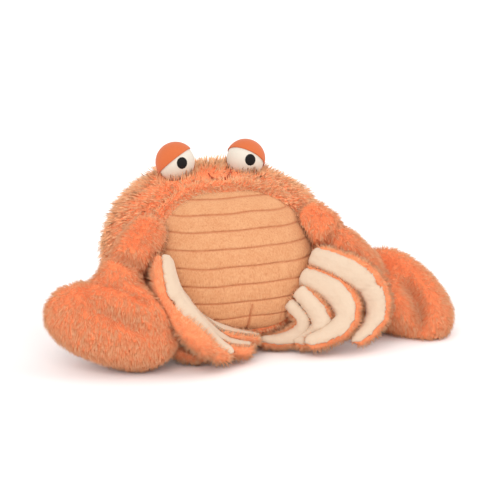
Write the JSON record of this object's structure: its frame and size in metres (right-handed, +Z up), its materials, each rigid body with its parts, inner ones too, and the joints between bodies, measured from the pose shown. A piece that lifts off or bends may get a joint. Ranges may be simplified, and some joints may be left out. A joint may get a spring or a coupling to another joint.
{
  "type": "plush crab",
  "caption": "Long-pile plush crab sitting upright on its flopped legs, with a ribbed belly panel, stuffed arms ending in claws, and half-lidded ball eyes.",
  "frame": {"origin": "on the table under the middle of the body, where the base of the body rests flat", "axes": "+Z up, the crab faces -Y, and its own left side is +X"},
  "size_m": [0.4103, 0.24, 0.1904],
  "materials": {
    "long_pile": "long shaggy orange pile",
    "short_pile": "dense short orange pile",
    "ribbed_pile": "ribbed short apricot pile",
    "cream_cloth": "smooth brushed cream cloth",
    "lid_cloth": "smooth brushed orange cloth",
    "eye_cloth": "smooth off-white cloth",
    "black_thread": "embroidered thread",
    "mouth_thread": "stitched thread"
  },
  "bodies": {
    "root": {"body": "long_pile", "belly_panel": "ribbed_pile", "mouth_stitch": "mouth_thread", "eye_left_white": "eye_cloth", "eye_left_lid": "lid_cloth", "eye_left_pupil": "black_thread", "eye_right_white": "eye_cloth", "eye_right_lid": "lid_cloth", "eye_right_pupil": "black_thread", "arm_left_upper": "short_pile", "arm_left_fore": "short_pile", "claw_left": "short_pile", "pincer_left": "short_pile", "arm_right_upper": "short_pile", "arm_right_fore": "short_pile", "claw_right": "short_pile", "pincer_right": "short_pile", "leg_left_1_back": "short_pile", "leg_left_1_underside": "cream_cloth", "leg_left_2_back": "short_pile", "leg_left_2_underside": "cream_cloth", "leg_left_3_back": "short_pile", "leg_left_3_underside": "cream_cloth", "leg_left_4_back": "short_pile", "leg_left_4_underside": "cream_cloth", "leg_right_1_back": "short_pile", "leg_right_1_underside": "cream_cloth", "leg_right_2_back": "short_pile", "leg_right_2_underside": "cream_cloth", "leg_right_3_back": "short_pile", "leg_right_3_underside": "cream_cloth", "leg_right_4_back": "short_pile", "leg_right_4_underside": "cream_cloth"}
  },
  "joints": []
}
